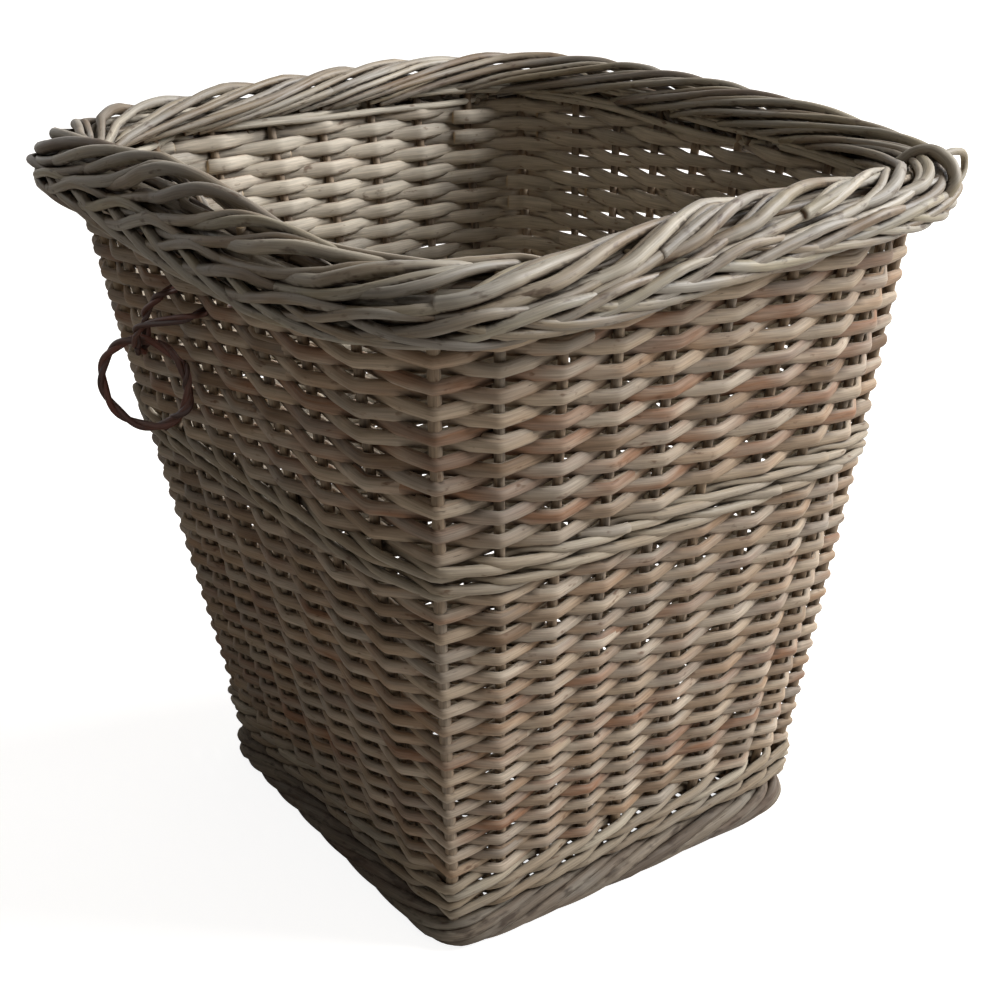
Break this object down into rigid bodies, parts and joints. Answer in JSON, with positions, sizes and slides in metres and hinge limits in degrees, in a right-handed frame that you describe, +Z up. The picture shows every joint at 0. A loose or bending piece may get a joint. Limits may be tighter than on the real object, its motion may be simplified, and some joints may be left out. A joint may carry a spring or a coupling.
{
  "type": "wicker waste basket",
  "caption": "Square flared wicker waste basket of weathered willow with a thick plaited border, a rolled foot, randed walls with waled bands, and a small twisted ring handle on one side.",
  "frame": {"origin": "on the floor, at the bottom centre of the bounding box", "axes": "+Z up, -Y towards the side with the ring handle, +X to the right seen from that side"},
  "size_m": [0.296, 0.3002, 0.302],
  "materials": {
    "siding_willow": "weathered peeled willow rods, matt with a faint sheen",
    "wale_willow": "paler weathered willow rods, matt with a faint sheen",
    "border_willow": "grey weathered willow rods, matt",
    "foot_willow": "worn, soiled willow rods, matt",
    "stake_willow": "peeled willow rods, matt",
    "base_willow": "weathered willow rods, matt",
    "bark_withy": "dark brown willow with its bark on, slightly glossy"
  },
  "bodies": {
    "basket": {"foot_border": "foot_willow", "base_weave": "base_willow", "base_stick_1": "base_willow", "base_stick_2": "base_willow", "base_stick_3": "base_willow", "base_stick_4": "base_willow", "base_stick_5": "base_willow", "base_stick_6": "base_willow", "base_wale": "wale_willow", "lower_siding": "siding_willow", "middle_wale": "wale_willow", "upper_siding": "siding_willow", "top_wale": "wale_willow", "border_plait": "border_willow", "border_roll": "border_willow", "corner_post_right_front": "stake_willow", "corner_post_right_back": "stake_willow", "corner_post_left_back": "stake_willow", "corner_post_left_front": "stake_willow", "stake_right_1": "stake_willow", "stake_right_2": "stake_willow", "stake_right_3": "stake_willow", "stake_right_4": "stake_willow", "stake_right_5": "stake_willow", "stake_right_6": "stake_willow", "stake_right_7": "stake_willow", "stake_right_8": "stake_willow", "stake_back_1": "stake_willow", "stake_back_2": "stake_willow", "stake_back_3": "stake_willow", "stake_back_4": "stake_willow", "stake_back_5": "stake_willow", "stake_back_6": "stake_willow", "stake_back_7": "stake_willow", "stake_back_8": "stake_willow", "stake_left_1": "stake_willow", "stake_left_2": "stake_willow", "stake_left_3": "stake_willow", "stake_left_4": "stake_willow", "stake_left_5": "stake_willow", "stake_left_6": "stake_willow", "stake_left_7": "stake_willow", "stake_left_8": "stake_willow", "stake_front_1": "stake_willow", "stake_front_2": "stake_willow", "stake_front_3": "stake_willow", "stake_front_4": "stake_willow", "stake_front_5": "stake_willow", "stake_front_6": "stake_willow", "stake_front_7": "stake_willow", "stake_front_8": "stake_willow", "ring_loop": "bark_withy"},
    "ring": {"ring_handle": "bark_withy"}
  },
  "joints": [
    {"name": "ring_swing", "type": "hinge", "parent": "basket", "child": "ring", "pos_m": [-0.0295, -0.13756, 0.2348], "axis": [-0.788, -0.6157, 0], "range_deg": [-5, 100]}
  ]
}
